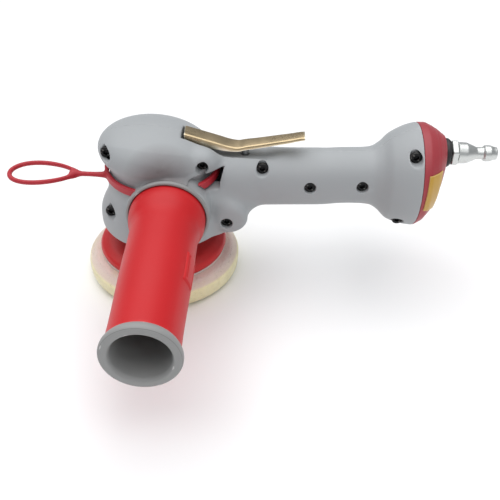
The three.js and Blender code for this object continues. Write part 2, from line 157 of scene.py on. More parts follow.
def build_mottle(tree, given):
    """Slow lighter and darker clouds over a colour, and a fine speckle."""
    where = place(tree, "TexCoord").outputs["Object"]
    clouds = noise(tree, where, given["Scale"], 4.0, 0.6)
    speckle = noise(tree, where, calc(tree, "MULTIPLY", given["Scale"], 40.0), 2.0)
    swing = calc(tree, "SUBTRACT", calc(tree, "ADD", clouds, calc(tree, "MULTIPLY", speckle, 0.35)), 0.675)
    shade = calc(tree, "MULTIPLY_ADD", swing, given["Spread"], 1.0)
    tone = place(tree, "HueSaturation", {"Value": shade, "Color": given["Colour"]}).outputs[0]
    return tone, clouds


def build_wear(tree, given):
    """Where the surface turns outwards sharply, broken up by noise, the colour goes to the worn one."""
    where = place(tree, "TexCoord").outputs["Object"]
    sharp = place(tree, "NewGeometry").outputs["Pointiness"]
    broken = calc(tree, "MULTIPLY_ADD", noise(tree, where, 160.0, 4.0), 0.09, -0.045)
    mask = band(tree, calc(tree, "ADD", sharp, broken), 0.53, 0.58)
    mask = calc(tree, "MULTIPLY", mask, given["Amount"])
    return mix(tree, mask, given["Colour"], given["Worn"]), mask


def build_dust(tree, given):
    """Pale dust on what faces up, in soft patches, and a near-black darkening in hollows."""
    where = place(tree, "TexCoord").outputs["Object"]
    geometry = place(tree, "NewGeometry")
    up = place(tree, "SeparateXYZ", {0: geometry.outputs["Normal"]}).outputs["Z"]
    patch = band(tree, noise(tree, where, 22.0, 5.0, 0.65), 0.42, 0.72)
    film = calc(tree, "MULTIPLY", calc(tree, "MULTIPLY", band(tree, up, 0.2, 1.0), patch), given["Amount"])
    dusted = mix(tree, film, given["Colour"], (0.72, 0.71, 0.68, 1))
    # darker in hollows: near-black laid where the surface is concave
    hollow = band(tree, geometry.outputs["Pointiness"], 0.485, 0.40)
    hollows_darkened = mix(tree, calc(tree, "MULTIPLY", hollow, given["Hollow dark"]), dusted, (0.05, 0.045, 0.04, 1))
    return hollows_darkened, film


def build_streaks(tree, given):
    """Turning or drawing marks: noise pressed flat along one direction."""
    where = place(tree, "TexCoord").outputs["Object"]
    pressed = place(tree, "Mapping", {"Vector": where, "Scale": given["Stretch"]}).outputs[0]
    return (noise(tree, pressed, given["Scale"], 4.0, 0.65),)


GRAIN = effect("grain", [("Scale", "f", 1800.0), ("Pits", "f", 0.2)], [("Height", "f")], build_grain)
MOTTLE = effect("mottle", [("Colour", "c", (1, 1, 1, 1)), ("Spread", "f", 0.1), ("Scale", "f", 30.0)],
                [("Colour", "c"), ("Clouds", "f")], build_mottle)
WEAR = effect("edge wear", [("Colour", "c", (1, 1, 1, 1)), ("Worn", "c", (1, 1, 1, 1)), ("Amount", "f", 0.5)],
              [("Colour", "c"), ("Mask", "f")], build_wear)
DUST_AND_DARK_HOLLOWS = effect("dust", [("Colour", "c", (1, 1, 1, 1)), ("Amount", "f", 0.2), ("Hollow dark", "f", 0.3)],
              [("Colour", "c"), ("Film", "f")], build_dust)
STREAKS = effect("streaks", [("Stretch", "v", (1, 1, 1)), ("Scale", "f", 600.0)], [("Height", "f")],
                 build_streaks)


def linear(red, green, blue):
    """A colour given on the 0 to 255 screen scale, as linear light."""
    parts = np.array([red, green, blue]) / 255
    light = np.where(parts <= 0.04045, parts / 12.92, ((parts + 0.055) / 1.055) ** 2.4)
    return (*light.tolist(), 1.0)


def finish(name, colour, rough, metallic=0.0, grain=(1500, 0.25), depth=0.03, spread=0.12, patch=26,
           worn=None, wear=0.0, dust=0.0, hollow_dark=0.0, stretch=None, streak=500, coat=0.0, coat_rough=0.2,
           sheen=0.0, gloss_swing=0.12, gloss=0.5):
    """One material. Its colour passes through clouds, wear, then dust and the darkening of hollows, and its
    grain or streaks lift the surface by up to `depth` millimetres."""
    material = bpy.data.materials.new(name)
    material.use_nodes = True
    tree = material.node_tree
    shader = tree.nodes["Principled BSDF"]
    tone = place(tree, "Group", node_tree=MOTTLE)
    for socket, value in (("Colour", linear(*colour)), ("Spread", spread), ("Scale", patch)):
        tone.inputs[socket].default_value = value
    edge = place(tree, "Group", node_tree=WEAR)
    tree.links.new(tone.outputs["Colour"], edge.inputs["Colour"])
    edge.inputs["Worn"].default_value = linear(*(worn or colour))
    edge.inputs["Amount"].default_value = wear
    film = place(tree, "Group", node_tree=DUST_AND_DARK_HOLLOWS)
    tree.links.new(edge.outputs["Colour"], film.inputs["Colour"])
    film.inputs["Amount"].default_value = dust
    film.inputs["Hollow dark"].default_value = hollow_dark
    tree.links.new(film.outputs["Colour"], shader.inputs["Base Color"])
    swing = calc(tree, "MULTIPLY_ADD", tone.outputs["Clouds"], gloss_swing, rough - gloss_swing / 2)
    tree.links.new(calc(tree, "ADD", swing, calc(tree, "MULTIPLY", film.outputs["Film"], 0.2)),
                   shader.inputs["Roughness"])
    shader.inputs["Metallic"].default_value = metallic
    shader.inputs["Coat Weight"].default_value = coat
    shader.inputs["Coat Roughness"].default_value = coat_rough
    shader.inputs["Sheen Weight"].default_value = sheen
    shader.inputs["Specular IOR Level"].default_value = gloss
    if stretch:
        relief = place(tree, "Group", node_tree=STREAKS)
        relief.inputs["Stretch"].default_value = stretch
        relief.inputs["Scale"].default_value = streak
    else:
        relief = place(tree, "Group", node_tree=GRAIN)
        relief.inputs["Scale"].default_value, relief.inputs["Pits"].default_value = grain
    bump = place(tree, "Bump", {"Strength": 1.0, "Distance": depth * MM, "Height": relief.outputs["Height"]})
    tree.links.new(bump.outputs[0], shader.inputs["Normal"])
    return material


HOUSING = finish("grey nylon", (160, 163, 165), 0.52, grain=(1500, 0.3), depth=0.05, spread=0.05,
                 worn=(196, 198, 199), wear=0.35, dust=0.05, hollow_dark=0.5)


def add_painted_shade(material, centre, reach, amount, colour):
    """A soft round mark on Object coordinates, darkest at `centre` (millimetres) and gone at `reach`,
    laid over the material's colour. It deepens a shade that the lights leave too pale, so it is paint
    that stands in for shade: it stays on the object and shows from every side."""
    tree = material.node_tree
    where = place(tree, "TexCoord").outputs["Object"]
    away = place(tree, "VectorMath", {0: where, 1: [value * MM for value in centre]}, operation="DISTANCE")
    near = band(tree, away.outputs["Value"], reach * MM, 0.25 * reach * MM)
    patchy = calc(tree, "MULTIPLY_ADD", noise(tree, where, 90.0, 4.0), 0.6, 0.7)
    mask = calc(tree, "MULTIPLY", calc(tree, "MULTIPLY", near, patchy), amount)
    base = tree.nodes["Principled BSDF"].inputs["Base Color"]
    tree.links.new(mix(tree, mask, base.links[0].from_socket, linear(*colour)), base)


# painted shade on the dome above the grip's collar, tinted red like light thrown back by the grip
add_painted_shade(HOUSING, (AHEAD + 4, -33, 86), 23, 0.7, (84, 68, 68))
# painted shade in the waist groove under the nose
add_painted_shade(HOUSING, (AHEAD + 30, -22, 80), 11, 0.4, (84, 76, 76))
# The pale worn colour on its rims is partly real wear and partly a painted highlight where the overhead light
# catches them.
CUFF = finish("grey rubber", (143, 143, 142), 0.55, grain=(1300, 0.2), depth=0.05, spread=0.08,
              worn=(206, 203, 203), wear=0.7, hollow_dark=0.4)
GRIP = finish("red rubber", (192, 27, 32), 0.46, grain=(1100, 0.25), depth=0.05, spread=0.12,
              worn=(214, 74, 72), wear=0.35, hollow_dark=0.4, gloss=0.32)
CAP = finish("red nylon", (158, 52, 60), 0.46, grain=(1500, 0.3), depth=0.05, spread=0.1,
             worn=(190, 96, 100), wear=0.5, hollow_dark=0.4)
PLATE = finish("red plate", (196, 32, 34), 0.42, grain=(900, 0.25), depth=0.05, spread=0.12,
               worn=(216, 80, 76), wear=0.4, dust=0.03, hollow_dark=0.3, gloss=0.35)
STRAP = finish("red cord", (176, 30, 44), 0.5, grain=(1300, 0.2), depth=0.04, spread=0.15,
               worn=(206, 84, 90), wear=0.4, hollow_dark=0.3)
RUBBER = finish("black rubber", (26, 26, 28), 0.55, grain=(1600, 0.2), depth=0.04, spread=0.2,
                worn=(62, 62, 64), wear=0.5, dust=0.1)
SCREW = finish("blackened steel", (20, 20, 22), 0.42, metallic=0.6, grain=(2600, 0.3), depth=0.02,
               spread=0.25, worn=(110, 108, 104), wear=0.6)
LEVER = finish("gold plated steel", (184, 165, 132), 0.3, metallic=1.0, spread=0.55, patch=75,
               stretch=(1, 9, 9), streak=260, depth=0.05, worn=(236, 228, 208), wear=0.8, hollow_dark=0.7,
               gloss_swing=0.28)
PLUG = finish("plated steel", (206, 208, 206), 0.4, metallic=1.0, spread=0.12, patch=70,
              stretch=(9, 1, 1), streak=300, depth=0.012, worn=(236, 236, 234), wear=0.4, hollow_dark=0.5)
STEEL = finish("ground steel", (176, 178, 180), 0.3, metallic=1.0, spread=0.1, patch=60,
               stretch=(1, 1, 12), streak=300, depth=0.01, worn=(220, 220, 220), wear=0.4)
GEAR = finish("hardened steel", (108, 108, 112), 0.36, metallic=1.0, spread=0.15, patch=50,
              stretch=(1, 1, 9), streak=260, depth=0.01, worn=(180, 178, 174), wear=0.5)
ALLOY = finish("cast alloy", (172, 174, 176), 0.45, metallic=1.0, grain=(1400, 0.35), depth=0.03,
               spread=0.12, worn=(206, 208, 208), wear=0.4)
BRASS = finish("brass pipe", (186, 152, 88), 0.32, metallic=1.0, spread=0.2, stretch=(9, 1, 1), streak=200,
               depth=0.015, worn=(216, 190, 130), wear=0.4)
FIBRE = finish("vane fibre", (96, 70, 44), 0.7, grain=(900, 0.3), depth=0.04, spread=0.3)
FELT = finish("silencer felt", (104, 98, 88), 0.92, grain=(700, 0.5), depth=0.25, spread=0.35, sheen=0.3)
LABEL = finish("ochre plate", (190, 148, 56), 0.4, grain=(1800, 0.15), depth=0.02, spread=0.14,
               worn=(206, 182, 124), wear=0.4, coat=0.25, coat_rough=0.25)
FLEECE = finish("hook fleece", (226, 212, 206), 0.95, grain=(1500, 0.5), depth=0.35, spread=0.2, sheen=0.5)


def foam():
    """Open foam: cells and torn cell mouths in two sizes, pale on the flat top and creamier down the
    side, which has taken up some compound."""
    material = finish("pad foam", (244, 234, 190), 0.95, spread=0.14, patch=45, sheen=0.35)
    tree = material.node_tree
    shader = tree.nodes["Principled BSDF"]
    where = place(tree, "TexCoord").outputs["Object"]
    up = place(tree, "SeparateXYZ", {0: place(tree, "NewGeometry").outputs["Normal"]}).outputs["Z"]
    cells = place(tree, "TexVoronoi", {"Vector": where, "Scale": 900.0}).outputs["Distance"]
    mouths = place(tree, "TexVoronoi", {"Vector": where, "Scale": 380.0}).outputs["Distance"]
    height = calc(tree, "ADD", band(tree, cells, 0.0, 0.5), band(tree, mouths, 0.05, 0.3))
    under = shader.inputs["Base Color"].links[0].from_socket
    top = mix(tree, band(tree, up, 0.45, 0.8), under, linear(226, 206, 196))
    pored = mix(tree, calc(tree, "MULTIPLY", band(tree, mouths, 0.16, 0.04), 0.4), top, linear(170, 156, 118))
    stained = mix(tree, calc(tree, "MULTIPLY", band(tree, noise(tree, where, 60.0, 4.0), 0.5, 0.75), 0.35),
                  pored, linear(206, 192, 132))
    tree.links.new(stained, shader.inputs["Base Color"])
    bump = place(tree, "Bump", {"Strength": 1.0, "Distance": 0.3 * MM, "Height": height})
    tree.links.new(bump.outputs[0], shader.inputs["Normal"])
    return material


FOAM = foam()

CAD_FINISH = {
    "housing_grey": HOUSING, "cuff_grey": CUFF, "grip_red": GRIP, "cap_red": CAP, "plate_red": PLATE,
    "strap_red": STRAP, "black_rubber": RUBBER, "screw_black": SCREW, "lever_gold": LEVER,
    "plug_steel": PLUG, "motor_steel": STEEL, "gear_steel": GEAR, "end_plate_alloy": ALLOY,
    "pipe_brass": BRASS, "vane_fibre": FIBRE, "silencer_fibre": FELT, "label_ochre": LABEL,
    "pad_foam": FOAM, "hook_fleece": FLEECE,
}
for part in frame["record"]["subparts"]:
    for held in frame["nodes"][part["node"]].material_slots:
        held.material = CAD_FINISH[part["material_slot"]]

# ---- Making pieces ---------------------------------------------------------------------


def put(name, points, faces, material, slot, body, nodes=(), crease=38):
    """Points in millimetres and rows of corner numbers become one closed smooth piece that rides on a
    body and stands for the named frame nodes. Edges that turn by more than `crease` stay sharp. Points
    of the casing are counted from its own middle; those of the spindle's pieces, from its axis."""
    mesh = bpy.data.meshes.new(name)
    start = np.array([0 if body == "spindle" else AHEAD, 0, 0])
    mesh.from_pydata((np.asarray(points, float) + start) * MM, [], faces.tolist())
    work = bmesh.new()
    work.from_mesh(mesh)
    bmesh.ops.remove_doubles(work, verts=work.verts, dist=1e-7)
    bmesh.ops.dissolve_degenerate(work, edges=work.edges, dist=1e-8)
    bmesh.ops.recalc_face_normals(work, faces=work.faces)
    work.to_mesh(mesh)
    work.free()
    mesh.polygons.foreach_set("use_smooth", np.ones(len(mesh.polygons), bool))
    mesh.set_sharp_from_angle(angle=math.radians(crease))
    mesh.materials.append(material)
    piece = bpy.data.objects.new(name, mesh)
    bpy.context.scene.collection.objects.link(piece)
    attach(piece, body)
    if nodes:
        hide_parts(*nodes)
    return piece


def skin(grid, along=False):
    """Rows of points become four-sided faces, joined from each row's last point to its first and,
    where `along`, from the last row to the first."""
    rows, columns = grid.shape[:2]
    index = np.arange(rows * columns).reshape(rows, columns)
    index = np.c_[index, index[:, :1]]
    if along:
        index = np.r_[index, index[:1]]
    corners = [index[:-1, :-1], index[1:, :-1], index[1:, 1:], index[:-1, 1:]]
    return grid.reshape(-1, 3), np.stack(corners, -1).reshape(-1, 4)


def rounded(corners, steps=6):
    """Rows of (out, along, cut): near each corner the line leaves one side `cut` before the corner and
    joins the next side `cut` after it, on the parabola that touches both."""
    corners = np.asarray(corners, float)
    points, cut = corners[:, :2], corners[:, 2:]
    before, after = np.roll(points, 1, 0) - points, np.roll(points, -1, 0) - points
    unit = lambda way: way / np.maximum(np.linalg.norm(way, axis=1, keepdims=True), 1e-9)
    start, end = points + unit(before) * cut, points + unit(after) * cut
    t = np.linspace(0, 1, steps)[None, :, None]
    line = (1 - t) ** 2 * start[:, None] + 2 * t * (1 - t) * points[:, None] + t ** 2 * end[:, None]
    return line.reshape(-1, 2)


AXES = {
    # two directions across, then the one along
    "Z": ((1, 0, 0), (0, 1, 0), (0, 0, 1)),
    "X": ((0, 1, 0), (0, 0, 1), (1, 0, 0)),
    "-Y": ((1, 0, 0), (0, 0, 1), (0, -1, 0)),
}


def turned(profile, sides=96, axis="Z", centre=(0, 0, 0), swell=None):
    """A profile of (radius, distance along) carried round an axis through `centre`. `swell` multiplies
    the radius by a function of the angle and the distance along."""
    angle = np.linspace(0, 2 * np.pi, sides, endpoint=False)[None, :]
    radius, along = profile[:, :1], profile[:, 1:]
    if swell:
        radius = radius * swell(angle, along)
    first, second, forward = (np.array(way, float) for way in AXES[axis])
    grid = (
        (radius * np.cos(angle))[..., None] * first + (radius * np.sin(angle))[..., None] * second
        + (along + 0 * angle)[..., None] * forward
    )
    return grid + np.array(centre, float)


def eased(knots, at):
    """A smooth line through (place, value) knots: cubic pieces whose slope at each knot is that of the
    parabola through the knot and its neighbours."""
    spot, value = np.asarray(knots, float).T
    slope = np.gradient(value, spot)
    i = np.clip(np.searchsorted(spot, at) - 1, 0, len(spot) - 2)
    width = spot[i + 1] - spot[i]
    t = np.clip((at - spot[i]) / width, 0, 1)
    return (
        (1 + 2 * t) * (1 - t) ** 2 * value[i] + t * (1 - t) ** 2 * width * slope[i]
        + t * t * (3 - 2 * t) * value[i + 1] - t * t * (1 - t) * width * slope[i + 1]
    )


# ---- Solid shapes given by their distance ------------------------------------------------


def merge(a, b, reach):
    """Two shapes in one, with a hollow fillet about `reach` wide where they meet."""
    share = np.clip(0.5 + 0.5 * (b - a) / reach, 0, 1)
    return b + (a - b) * share - reach * share * (1 - share)


def common(a, b, reach):
    """What two shapes share, the edge between them rounded over `reach`."""
    return -merge(-a, -b, reach)


def carve(a, b, reach):
    """The first shape without the second, the rim rounded over `reach`."""
    return common(a, -b, reach)


def rod(first, second, along, radius, low, high, edge=0.5):
    """A round bar between two flat ends, its rims rounded to the radius `edge`."""
    side = np.hypot(first, second) - radius + edge
    end = np.maximum(low + edge - along, along - high + edge)
    return np.minimum(np.maximum(side, end), 0) + np.hypot(np.maximum(side, 0), np.maximum(end, 0)) - edge


def contoured(distance, low, high, step):
    """The surface where distance(points) is 0, found with a lattice of cubes. Every cube that the
    surface passes through gets the one point that lies nearest to all the tangent planes at the
    surface's crossings of the cube's edges, so that flat faces stay flat and edges stay sharp. Every
    crossed edge gets a four-sided face between its four cubes."""
    low, high = np.array(low, float), np.array(high, float)
    counts = np.ceil((high - low) / step).astype(int) + 1
    lines = [start + step * np.arange(count) for start, count in zip(low, counts)]
    lattice = np.stack(np.meshgrid(*lines, indexing="ij"), -1)
    value = distance(lattice.reshape(-1, 3)).reshape(counts)
    inside = value < 0
    spots, owners = [], []
    for axis in range(3):
        near = [slice(0, -1) if k == axis else slice(1, -1) for k in range(3)]
        far = [slice(1, None) if k == axis else slice(1, -1) for k in range(3)]
        index = np.argwhere(inside[tuple(near)] != inside[tuple(far)])
        index += np.array([0 if k == axis else 1 for k in range(3)])
        way, side, other = (np.eye(3, dtype=int)[(axis + turn) % 3] for turn in range(3))
        start, end = (value[tuple(index.T)], value[tuple((index + way).T)])
        a, b = low + step * index, low + step * (index + way)
        for _ in range(3):
            guess = a + (b - a) * (start / (start - end))[:, None]
            there = distance(guess)
            same = (there < 0) == (start < 0)
            a, start = np.where(same[:, None], guess, a), np.where(same, there, start)
            b, end = np.where(same[:, None], b, guess), np.where(same, end, there)
            start = np.where(start == end, 1e-9, start)
        spots.append(a + (b - a) * (start / (start - end))[:, None])
        ring = [index - side - other, index - other, index, index - side]
        ring = np.stack([np.ravel_multi_index(cell.T, counts) for cell in ring], 1)
        outward = inside[tuple(index.T)]
        owners.append(np.where(outward[:, None], ring, ring[:, ::-1]))
    spots, owners = np.concatenate(spots), np.concatenate(owners)
    nudge, hold = 0.02, 0.06  # a step to measure the slope over, and the pull to the crossings' middle
    normals = np.stack([
        distance(spots + nudge * way) - distance(spots - nudge * way) for way in np.eye(3)], 1)
    normals /= np.maximum(np.linalg.norm(normals, axis=1, keepdims=True), 1e-12)
    cells, faces = np.unique(owners, return_inverse=True)
    faces = faces.reshape(-1, 4)
    total = lambda worth: np.bincount(faces.ravel(), np.repeat(worth, 4), len(cells))
    amount = total(np.ones(len(spots)))
    middle = np.stack([total(spots[:, k]) for k in range(3)], 1) / amount[:, None]
    reach = (normals * spots).sum(1)
    square = np.stack([total(normals[:, i] * normals[:, j]) for i in range(3) for j in range(3)], 1)
    square = square.reshape(-1, 3, 3)
    pull = np.stack([total(normals[:, k] * reach) for k in range(3)], 1)
    pull -= (square @ middle[..., None])[..., 0]
    shift = np.linalg.solve(square + hold * amount[:, None, None] * np.eye(3), pull[..., None])[..., 0]
    corner = low + step * np.stack(np.unravel_index(cells, counts), 1)
    return np.clip(middle + shift, corner, corner + step), faces


# ---- Housing -----------------------------------------------------------------------------
HEAD = [(38, 40), (48, 40), (50.7, 39.6), (53.4, 38.6), (56, 37.3), (58.7, 35.9), (61.4, 34.8), (64, 34.1),
        (67, 33.7), (73.5, 32.6), (79, 32), (86, 32)]
DOME_TILT = math.radians(7.1)
DOME_SIZE = (34.6, 32.6, 15.5)  # half lengths along its own axis, across and up
SPINE = [(10, 70.5), (90, 70.5), (100, 70.8), (106, 71.4), (112, 71.7), (118, 71.8), (124, 71.9), (129, 72),
         (136, 72), (142, 72.6), (148, 73.3), (153, 73.6)]
GIRTH = [(10, 20.4), (22, 19.9), (40, 18.6), (60, 17.8), (80, 17.4), (95, 17.3), (106, 17), (116, 17),
         (122, 17.2), (127, 18.2), (131, 20.8), (136, 25.6), (139, 27.3), (143, 29), (147, 30.2),
         (151, 30.9), (153, 31)]
SKIRT_LOW, HEAD_HIGH = 41, 84
GROOVE_FLOOR, GROOVE_LOW, GROOVE_HIGH = 32, 73.5, 79.3
BORE_RADIUS = 24.4
HANDLE_END = 151.95
SLOT_HALF, SLOT_START, SLOT_END = 7.3, 12.6, 90
SOCKET_RADIUS, SOCKET_FACE = 24.1, 33.2
RECESS_RADIUS, RECESS_DEPTH = 3.5, 5
GRIP_X, GRIP_Z = 5.8, 62.5
PIN_X, PIN_Z = 20, 92.6  # the lever's pin
STEM_X = 50
SCREW_SPOTS = [
    # along X, height, the skin's place along Y
    (-30, 93.6, -17.2), (25.5, 87, -18), (-30.5, 55.8, -22), (39.5, 51.9, -25), (60.3, 82.2, -13.4),
    (88.7, 72.3, -17.3), (119.6, 73.3, -16.6), (147.5, 95.3, -20.3), (142.6, 52.3, -19.9),
]
PARTING = 0.045  # half of the hairline between the two halves


def dome_at(x, y, z, shrink=0.0):
    """An egg on its side: an ellipsoid whose long axis dips towards the handle, and whose front is
    squarer, so that its face falls more steeply."""
    x, z = x + 3, z - 87.6
    cosine, sine = math.cos(DOME_TILT), math.sin(DOME_TILT)
    x, z = x * cosine - z * sine, x * sine + z * cosine
    a, b, c = (size - shrink for size in DOME_SIZE)
    square = np.clip(-y / 16, 0, 1) * np.clip(z / 6, 0, 1) * 0.45
    near = np.sqrt((x / a) ** 2 + (y / b) ** 2 + (z / c) ** 2)
    far = np.sqrt((x / a ** 2) ** 2 + (y / b ** 2) ** 2 + (z / c ** 2) ** 2)
    fuller = square * np.minimum((y / b) ** 2, (z / c) ** 2)
    return near * (near - 1) / np.maximum(far, 1e-6) - 4.5 * fuller


def handle_at(x, y, z):
    """Round sections whose radius and height change smoothly along X, up to a flat end."""
    round_part = 0.86 * (np.hypot(y, z - eased(SPINE, x)) - eased(GIRTH, x))
    return common(common(round_part, x - HANDLE_END, 0.8), 12 - x, 1.0)


def outside_at(x, y, z):
    """The housing's outer skin: head, dome, handle, root lobe and grip socket, smoothly joined, with
    the waist groove cut round the head and a pocket for the strap beside the socket."""
    across = np.hypot(x, y)
    head = common(common(0.95 * (across - eased(HEAD, z)), SKIRT_LOW - z, 2.4), z - HEAD_HIGH, 1)
    lobe = merge(rod(x - 33, z - 54.5, -y, 13.5, -23, 23, 5), rod(x - 42.2, z - 54, -y, 9.8, -25, 25.3, 4), 6)
    web = rod(x - 44, z - 64.5, -y, 12, -15, 15, 6)
    lower = merge(merge(head, lobe, 5), web, 7)
    shape = merge(merge(lower, dome_at(x, y, z), 2.5), handle_at(x, y, z), 8)
    nose = np.sqrt((x - 26.5) ** 2 + (y + 13) ** 2 + (z - 87) ** 2) - 6.6
    shape = merge(shape, nose, 6)
    front = np.clip((np.degrees(np.arctan2(-y, x)) - 6) / 12, 0, 1) * np.clip((x - 12) / 8, 0, 1) * (y < 0)
    groove = np.maximum(np.maximum(GROOVE_FLOOR - across, across - 36.3 - 3 * front),
                        np.maximum(GROOVE_LOW - z, z - GROOVE_HIGH - 3.8 * front))
    shape = carve(shape, groove, 0.7)
    socket = rod(x - GRIP_X, z - GRIP_Z, -y, SOCKET_RADIUS, 12, SOCKET_FACE, 1.2)
    socket = common(socket, 39.5 - z, 1.5)
    shape = merge(shape, socket, 1.6)
    wall = np.maximum(23.4 - np.hypot(x - GRIP_X, z - GRIP_Z), np.maximum(y + 11, 0.8 * (17.5 - x)))
    pocket = np.maximum(np.maximum(30 - across, across - 39.6),
                        np.maximum(72.8 - z, z - 83 - 0.06 * (x - 26)))
    return carve(shape, np.maximum(pocket, wall), 1.4)


def slot_at(x, y, z):
    """The lever's slot along the top: two side walls over a floor that falls and rises."""
    floor = np.interp(x, [SLOT_START, 27, 36, 62, 74, SLOT_END], [89.2, 89.2, 85.6, 85.6, 88, 92])
    sides = np.maximum(np.abs(y) - SLOT_HALF, np.maximum(SLOT_START - x, x - SLOT_END))
    return common(sides, 0.9 * (floor - z), 0.6)


def housing_at(points):
    """The whole housing: the outer skin less the motor bore, handle canal, grip seat and port, lever
    slot, stem hole, pin hole and screw recesses."""
    x, y, z = points.T
    shape = outside_at(x, y, z)
    across = np.hypot(x + AHEAD, y)
    bore = np.minimum(rod(x + AHEAD, y, z, BORE_RADIUS, 20, 85, 0.3),
                      rod(x + AHEAD, y, z, 22.8, 60, 88.3, 0.3))
    loft = np.maximum(np.maximum(dome_at(x, y, z, 3), 82 - z), x - 9)
    radius = np.interp(x, [30, 56, 120, 130, 140, 152.5], [11, 13, 13, 16, 23, 27])
    canal = np.maximum(np.hypot(y, z - 70.5 - np.clip((x - 95) / 30, 0, 1) * 2) - radius, 30 - x)
    seat = np.minimum(rod(x - GRIP_X, z - GRIP_Z, -y, 22.2, 25.5, 60, 0.4),
                      rod(x - GRIP_X, z - GRIP_Z, -y, 11, 2, 60, 0.3))
    hollow = np.minimum(np.minimum(bore, loft), np.minimum(canal, seat))
    under = np.maximum(rod(x, y, z, 37, 20, 43.5, 1), BORE_RADIUS - across)
    shape = carve(carve(shape, np.minimum(hollow, under), 0.5), slot_at(x, y, z), 0.8)
    stem_hole = rod(x - STEM_X, y, z, 2.5, 60, 120, 0.1)
    pin_hole = rod(x - PIN_X, z - PIN_Z, y, 1.8, -9.3, 9.3, 0.1)
    holes = np.minimum(stem_hole, pin_hole)
    shape = carve(shape, holes, 0.3)
    for screw_x, screw_z, surface in SCREW_SPOTS:
        floor = -surface - RECESS_DEPTH
        recess = rod(x - screw_x, z - screw_z, -y, RECESS_RADIUS, floor, 80, 0.3)
        shape = carve(shape, recess, 0.9)
    return shape


HALVES = [
    # its side of Y, its names, and where its box starts and ends along Y
    (-1, "shell_front", "housing_front", -36.7, 1.7),
    (1, "shell_rear", "housing_rear", -1.7, 43.7),
]
fine = 0.8
for side, name, node, nearest, farthest in HALVES:
    half = lambda points: np.maximum(housing_at(points), PARTING - side * points[:, 1])
    points, faces = contoured(half, (-41.3, nearest, 37.3), (153.7, farthest, 107.7), fine)
    put(name, points, faces, HOUSING, "housing_grey", "housing", [node])

# ---- Screws --------------------------------------------------------------------------------
SCREW_STEPS = 4  # points at each corner of the screw's profile
SOCKET_ROW = 6 * SCREW_STEPS  # the profile's first point in the socket, after six corners


def hexed(angle):
    """The distance from the middle to a hexagon whose flats are 1 away."""
    return 1 / np.cos((angle + np.pi / 6) % (np.pi / 3) - np.pi / 6)


def socket_swell(angle, along):
    """A hexagon from the socket's mouth to the profile's end, and a circle before it."""
    row = np.arange(along.shape[0])[:, None]
    return np.where(row >= SOCKET_ROW, hexed(angle) * 0.94, 1.0)


for number, (screw_x, screw_z, surface) in enumerate(SCREW_SPOTS, 1):
    top = -surface - 1.5
    head = rounded([(0, top - 8, 0), (1.5, top - 8, 0), (1.5, top - 2.1, 0), (3.3, top - 2.1, 0.2),
                    (3.3, top, 0.5), (2, top, 0.1), (1.6, top, 0.12), (1.4, top - 1.7, 0),
                    (0, top - 1.9, 0)], SCREW_STEPS)
    grid = turned(head, 48, "-Y", (screw_x, 0, screw_z), socket_swell)
    put(f"cap_screw_{number}", *skin(grid), SCREW, "screw_black", "housing", [f"housing_screw_{number}"])

# ---- Carrying strap ---------------------------------------------------------------------------
STRAP_Z = 76.4
BAND_RADIUS = 33.7
LINK_X = -43
EYE_X, EYE_Y = -71, -11
EYE_LONG, EYE_WIDE = 19.2, 11  # half lengths of the eye's middle line
CORD_RADIUS = 1.4


def strap_at(points):
    """A flat band round the waist, cut by the grip's socket, a waisted link, and a drop-shaped eye whose
    point is the link's end, run into each other."""
    x, y, z = points.T
    across = np.hypot(x, y)
    thick_way, tall_way = np.abs(across - BAND_RADIUS) - 0.45, np.abs(z - STRAP_Z) - 1.8
    ring = np.hypot(np.maximum(thick_way, 0), np.maximum(tall_way, 0)) - 0.7
    opening = np.where(y < 0, 23.9 - np.hypot(x - GRIP_X, z - GRIP_Z), -99.0)
    ring = common(ring, opening, 0.4)
    run = np.clip((x + 52) / 18, 0, 1)
    middle = -11.2 - 0.8 * run
    thick = 1.3 + 0.35 * (2 * run - 1) ** 2
    off_line = np.hypot((y - middle) * 0.85, (z - STRAP_Z) * 0.95)
    link = np.hypot(np.maximum(np.abs(x - LINK_X) - 9.5, 0), off_line) - thick
    across_eye = EYE_WIDE * (1 - 0.22 * np.clip((x + 72) / 19, -1, 1))
    around = np.arctan2((y - EYE_Y) / across_eye, (x - EYE_X) / EYE_LONG)
    oval_x, oval_y = EYE_X + EYE_LONG * np.cos(around), EYE_Y + across_eye * np.sin(around)
    eye = np.hypot(np.hypot(x - oval_x, y - oval_y), z - STRAP_Z) - CORD_RADIUS
    return merge(merge(eye, link, 4), ring, 2)


points, faces = contoured(strap_at, (-93.5, -37, 72.6), (37, 37, 80.2), 0.55)
put("strap_loop", points, faces, STRAP, "strap_red", "housing", ["carry_strap"])

# ---- Side grip -----------------------------------------------------------------------------
GRIP_AXIS = (GRIP_X, 0, GRIP_Z)
collar = rounded([(22.4, 33.5, 0.3), (24.0, 33.5, 0.3), (24.5, 34.7, 0.7), (23.9, 36.1, 0.8),
                  (22.6, 36.1, 0.4)], 6)
put("socket_ring", *skin(turned(collar, 128, "-Y", GRIP_AXIS), True), CUFF, "housing_grey", "housing",
    ["grip_collar"])


CATCH_TURN, CATCH_MIDDLE = 18, 90  # the catch plate's place: degrees round, and distance along


def grip_swell(angle, along):
    """1 everywhere but on the catch plate at the upper side, which stands proud by a small share of the
    radius, with a slit on each side of its middle."""
    off = np.abs(np.degrees((angle + np.pi) % (2 * np.pi) - np.pi) - CATCH_TURN)
    away = np.abs(along - CATCH_MIDDLE)
    plate = np.clip((15 - off) / 2.2, 0, 1) * np.clip((11 - away) / 0.9, 0, 1)
    slit = np.clip((1.2 - np.abs(off - 9)) / 0.8, 0, 1) * np.clip((9 - away) / 0.8, 0, 1)
    return 1 + np.where(along > 30, 0.045 * plate - 0.03 * slit, 0)


